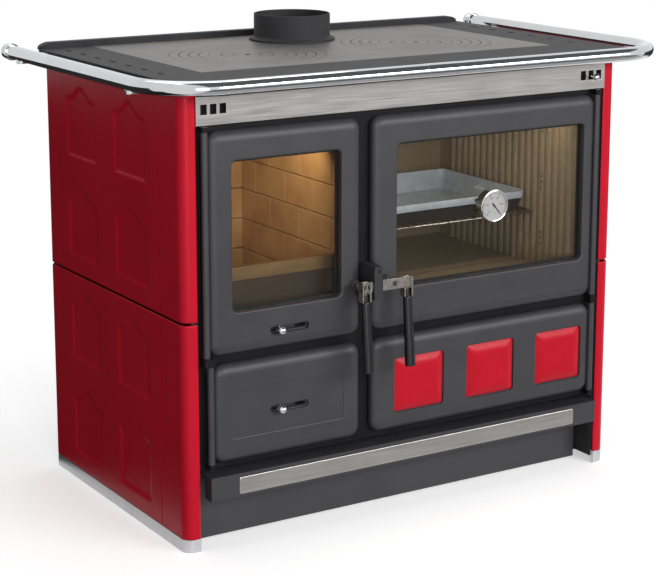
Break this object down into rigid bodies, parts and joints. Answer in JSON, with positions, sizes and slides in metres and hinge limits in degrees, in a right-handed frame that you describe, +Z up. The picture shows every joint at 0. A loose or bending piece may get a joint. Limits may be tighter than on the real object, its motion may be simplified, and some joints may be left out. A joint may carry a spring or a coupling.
{
  "type": "solid fuel cook stove",
  "caption": "Free-standing wood-burning range cooker with a glazed firebox door, a glazed oven door, lower doors, a plinth drawer, a cast hob with lift-off rings and a towel rail.",
  "frame": {"origin": "centre of the footprint's bounding box on the floor, the rail included", "axes": "+X to the right along the front, +Y from the front to the back, +Z up"},
  "size_m": [1.145, 0.7046, 0.914],
  "materials": {
    "cast_iron_door": "satin dark grey enamel on cast iron",
    "cast_iron_hob": "ground and oiled cast iron frame",
    "ground_plate": "ground bright cast iron",
    "red_enamel": "gloss burgundy enamel",
    "brushed_steel": "horizontal brushing",
    "bright_steel": "fine satin",
    "chrome": "polished",
    "black_steel": "matt black heat-proof paint",
    "dark_enamel": "satin anthracite enamel",
    "galvanised": "zinc-coated sheet",
    "firebrick": "rough fired clay",
    "grate_iron": "rough raw casting",
    "heat_tinted": "steel tinted by heat",
    "oven_enamel": "brown-grey gloss enamel",
    "rack_wire": "plated wire",
    "tray_enamel": "pale blue-grey enamel",
    "window_glass": "clear heat-proof glass",
    "seal_rope": "woven glass-fibre rope",
    "latch_steel": "stamped and polished steel",
    "grip_plastic": "black heat-proof plastic",
    "pin_steel": "turned steel",
    "tile_red": "gloss red glaze",
    "pointer_black": "black"
  },
  "bodies": {
    "stove": {"shelf_plates": "black_steel", "side_walls": "black_steel", "back_wall": "black_steel", "centre_partition": "black_steel", "firebox_base": "grate_iron", "front_frame": "cast_iron_door", "fascia": "brushed_steel", "upper_left_panel": "red_enamel", "lower_left_panel": "red_enamel", "upper_right_panel": "red_enamel", "lower_right_panel": "red_enamel", "base_strips": "bright_steel", "back_panel": "dark_enamel", "levelling_feet": "black_steel", "drawer_runners": "galvanised", "door_catch": "black_steel", "hinge_pins": "pin_steel", "hob_frame": "cast_iron_hob", "hob_plate": "ground_plate", "flue_collar": "cast_iron_hob", "firebox_bricks": "firebrick", "fire_grate": "grate_iron", "log_guard": "heat_tinted", "ash_pan": "galvanised", "oven_box": "oven_enamel", "oven_liners": "oven_enamel", "oven_rack": "rack_wire", "baking_tray": "tray_enamel", "rail_left": "chrome", "rail_right": "chrome", "rail_sleeve": "chrome", "rail_caps": "chrome", "rail_brackets": "chrome"},
    "fire_door_body": {"fire_door": "cast_iron_door", "fire_glass": "window_glass", "fire_glass_frame": "black_steel", "fire_door_seal": "seal_rope"},
    "fire_latch": {"fire_lever": "latch_steel", "fire_grip": "grip_plastic"},
    "fire_air": {"fire_air_slide": "chrome"},
    "ash_door_body": {"ash_door": "cast_iron_door", "ash_door_seal": "seal_rope"},
    "ash_air": {"ash_air_slide": "chrome"},
    "oven_door_body": {"oven_door": "cast_iron_door", "oven_glass": "window_glass", "oven_glass_frame": "black_steel", "oven_door_seal": "seal_rope", "thermometer_case": "chrome"},
    "oven_latch": {"oven_lever": "latch_steel", "oven_grip": "grip_plastic"},
    "pointer": {"thermometer_pointer": "pointer_black"},
    "tile_door_body": {"tile_door": "cast_iron_door", "door_tiles": "tile_red"},
    "drawer": {"drawer_box": "dark_enamel", "drawer_bar": "dark_enamel"},
    "damper": {"damper_slide": "chrome"},
    "left_ring_body": {"left_ring": "ground_plate"},
    "left_lid_body": {"left_lid": "ground_plate"},
    "right_ring_body": {"right_ring": "ground_plate"},
    "right_lid_body": {"right_lid": "ground_plate"}
  },
  "joints": [
    {"name": "fire_door_swing", "type": "hinge", "parent": "stove", "child": "fire_door_body", "pos_m": [-0.44325, -0.25915, 0.566], "axis": [0, 0, -1], "range_deg": [0, 110]},
    {"name": "fire_latch_turn", "type": "hinge", "parent": "fire_door_body", "child": "fire_latch", "pos_m": [-0.138, -0.29965, 0.46], "axis": [0, 1, 0], "range_deg": [0, 35]},
    {"name": "fire_air_slide_move", "type": "slide", "parent": "fire_door_body", "child": "fire_air", "axis": [1, 0, 0], "range_m": [-0.012, 0.054]},
    {"name": "ash_door_swing", "type": "hinge", "parent": "stove", "child": "ash_door_body", "pos_m": [-0.43625, -0.25915, 0.254], "axis": [0, 0, -1], "range_deg": [0, 110]},
    {"name": "ash_air_slide_move", "type": "slide", "parent": "ash_door_body", "child": "ash_air", "axis": [1, 0, 0], "range_m": [-0.012, 0.054]},
    {"name": "oven_door_swing", "type": "hinge", "parent": "stove", "child": "oven_door_body", "pos_m": [0.43425, -0.25915, 0.566], "axis": [0, 0, 1], "range_deg": [0, 110]},
    {"name": "oven_latch_turn", "type": "hinge", "parent": "oven_door_body", "child": "oven_latch", "pos_m": [-0.07, -0.29965, 0.46], "axis": [0, -1, 0], "range_deg": [0, 35]},
    {"name": "thermometer_turn", "type": "hinge", "parent": "oven_door_body", "child": "pointer", "pos_m": [0.173, -0.27765, 0.577], "axis": [0, 1, 0], "range_deg": [-270, 5], "stiffness_Nm_per_rad": 0.005},
    {"name": "tile_door_swing", "type": "hinge", "parent": "stove", "child": "tile_door_body", "pos_m": [0.43425, -0.25915, 0.254], "axis": [0, 0, 1], "range_deg": [0, 110]},
    {"name": "drawer_pull", "type": "slide", "parent": "stove", "child": "drawer", "axis": [0, -1, 0], "range_m": [0, 0.38]},
    {"name": "damper_pull", "type": "slide", "parent": "stove", "child": "damper", "axis": [0, -1, 0], "range_m": [0, 0.07]},
    {"name": "left_ring_lift", "type": "slide", "parent": "stove", "child": "left_ring_body", "axis": [0, 0, 1], "range_m": [0, 0.06]},
    {"name": "left_lid_lift", "type": "slide", "parent": "left_ring_body", "child": "left_lid_body", "axis": [0, 0, 1], "range_m": [0, 0.06]},
    {"name": "right_ring_lift", "type": "slide", "parent": "stove", "child": "right_ring_body", "axis": [0, 0, 1], "range_m": [0, 0.06]},
    {"name": "right_lid_lift", "type": "slide", "parent": "right_ring_body", "child": "right_lid_body", "axis": [0, 0, 1], "range_m": [0, 0.06]}
  ],
  "couplings": [
    {"joint": "ash_door_swing", "follows": "fire_door_swing", "ratio": 1},
    {"joint": "tile_door_swing", "follows": "oven_door_swing", "ratio": 1}
  ]
}
